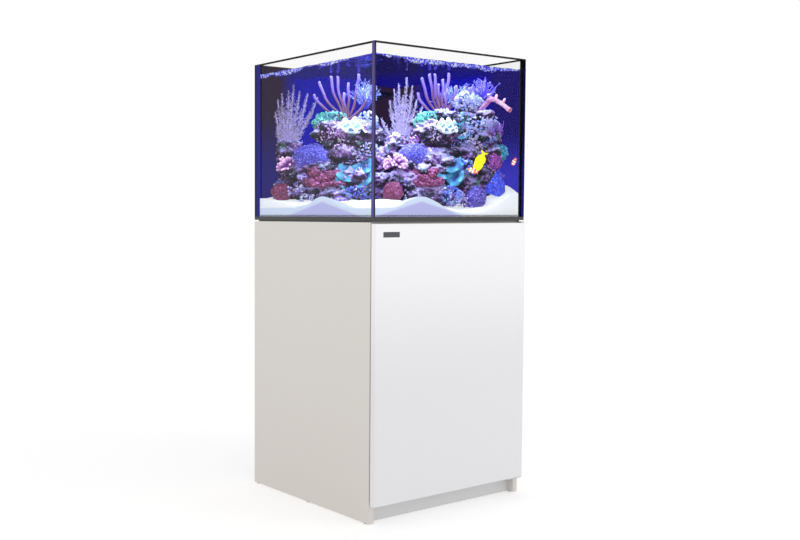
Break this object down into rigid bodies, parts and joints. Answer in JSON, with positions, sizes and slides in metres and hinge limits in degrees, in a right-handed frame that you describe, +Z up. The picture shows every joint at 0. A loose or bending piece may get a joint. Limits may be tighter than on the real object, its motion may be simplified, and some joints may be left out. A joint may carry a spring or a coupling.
{
  "type": "aquarium on stand",
  "caption": "Rimless glass reef aquarium with an overflow chamber, on a tall white cabinet stand that hides the sump behind a push-open door.",
  "frame": {"origin": "on the floor, at the middle of the footprint", "axes": "+X to the right seen from the front, +Y to the back, +Z up; the door faces -Y"},
  "size_m": [0.6, 0.575, 1.32],
  "materials": {
    "white_laminate": "satin melamine",
    "door_lacquer": "gloss lacquer",
    "grey_laminate": "satin melamine",
    "glide_plastic": "moulded",
    "bright_steel": "zinc plated",
    "nylon": "moulded",
    "badge_dark": "printed plate",
    "foam_mat": "closed cell foam",
    "black_glass": "polished, black",
    "clear_glass": "polished",
    "background_film": "satin film",
    "black_silicone": "tooled",
    "black_acrylic": "polished",
    "grey_pipe": "extruded",
    "red_lever": "moulded",
    "black_plastic": "moulded",
    "white_plastic": "moulded",
    "white_felt": "needle felt",
    "coral_sand": "fine grain",
    "live_rock": "porous",
    "coral": "fleshy polyps",
    "fish_skin": "scaled"
  },
  "bodies": {
    "cabinet_and_tank": {"left_side_panel": "white_laminate", "right_side_panel": "white_laminate", "top_panel": "white_laminate", "bottom_panel": "white_laminate", "back_panel": "white_laminate", "plinth_board": "grey_laminate", "rear_plinth_board": "grey_laminate", "floor_glides": "glide_plastic", "top_pivot_plate": "bright_steel", "bottom_pivot_plate": "bright_steel", "pivot_pins": "bright_steel", "plate_screws": "bright_steel", "latch_housing": "nylon", "levelling_mat": "foam_mat", "tank_bottom_pane": "black_glass", "front_pane": "clear_glass", "rear_pane": "clear_glass", "left_pane": "clear_glass", "right_pane": "clear_glass", "sump_tank": "clear_glass", "sump_baffles": "clear_glass", "rear_film": "background_film", "side_film": "background_film", "corner_seams": "black_silicone", "base_seam": "black_silicone", "weir_box": "black_acrylic", "sock_holder": "black_acrylic", "bulkheads": "grey_pipe", "main_standpipe": "grey_pipe", "emergency_standpipe": "grey_pipe", "drain_downpipe": "grey_pipe", "emergency_downpipe": "grey_pipe", "return_pipe": "grey_pipe", "return_riser": "grey_pipe", "valve_body": "grey_pipe", "top_up_tube": "grey_pipe", "pump_housing": "black_plastic", "pump_cover": "black_plastic", "float_bracket": "black_plastic", "top_up_reservoir": "white_plastic", "reservoir_lid": "white_plastic", "sand_bed": "coral_sand", "reef_rocks": "live_rock", "coral_colonies": "coral", "fish": "fish_skin"},
    "door": {"door_panel": "door_lacquer", "pivot_bushes": "nylon", "latch_strike": "bright_steel", "door_badge": "badge_dark", "door_bumpers": "glide_plastic"},
    "latch_plunger": {"latch_plunger": "nylon"},
    "weir_comb": {"weir_comb": "black_acrylic"},
    "filter_sock": {"filter_sock": "white_felt"},
    "nozzle_segment": {"nozzle_segment": "black_plastic"},
    "nozzle_tip": {"nozzle_tip": "black_plastic"},
    "drain_valve": {"valve_disc": "grey_pipe", "valve_lever": "red_lever"},
    "pump_impeller": {"pump_impeller": "white_plastic"},
    "float_arm": {"float_arm": "white_plastic"},
    "reservoir_cap": {"reservoir_cap": "black_plastic"}
  },
  "joints": [
    {"name": "door_swing", "type": "hinge", "parent": "cabinet_and_tank", "child": "door", "pos_m": [0.2922, -0.279, 0.441], "axis": [0, 0, 1], "range_deg": [0, 105]},
    {"name": "latch_press", "type": "slide", "parent": "cabinet_and_tank", "child": "latch_plunger", "axis": [0, 1, 0], "range_m": [0, 0.003], "stiffness_N_per_m": 300, "springref_m": -0.002},
    {"name": "weir_comb_lift", "type": "slide", "parent": "cabinet_and_tank", "child": "weir_comb", "axis": [0, 0, 1], "range_m": [0, 0.08]},
    {"name": "filter_sock_lift", "type": "slide", "parent": "cabinet_and_tank", "child": "filter_sock", "axis": [0, 0, 1], "range_m": [0, 0.21]},
    {"name": "nozzle_pan", "type": "hinge", "parent": "cabinet_and_tank", "child": "nozzle_segment", "pos_m": [0.08, 0.168, 1.235], "axis": [0, 0, 1], "range_deg": [-25, 25]},
    {"name": "nozzle_tilt", "type": "hinge", "parent": "nozzle_segment", "child": "nozzle_tip", "pos_m": [0.08, 0.133, 1.235], "axis": [1, 0, 0], "range_deg": [-20, 20]},
    {"name": "drain_valve_turn", "type": "hinge", "parent": "cabinet_and_tank", "child": "drain_valve", "pos_m": [-0.08, 0.198, 0.67], "axis": [0, 1, 0], "range_deg": [0, 90]},
    {"name": "impeller_spin", "type": "hinge", "parent": "cabinet_and_tank", "child": "pump_impeller", "pos_m": [0.08, 0.03, 0.118], "axis": [0, 1, 0], "continuous": true},
    {"name": "float_swing", "type": "hinge", "parent": "cabinet_and_tank", "child": "float_arm", "pos_m": [0.114, 0.142, 0.31], "axis": [-1, 0, 0], "range_deg": [0, 25]},
    {"name": "reservoir_cap_lift", "type": "slide", "parent": "cabinet_and_tank", "child": "reservoir_cap", "axis": [0, 0, 1], "range_m": [0, 0.06]}
  ]
}
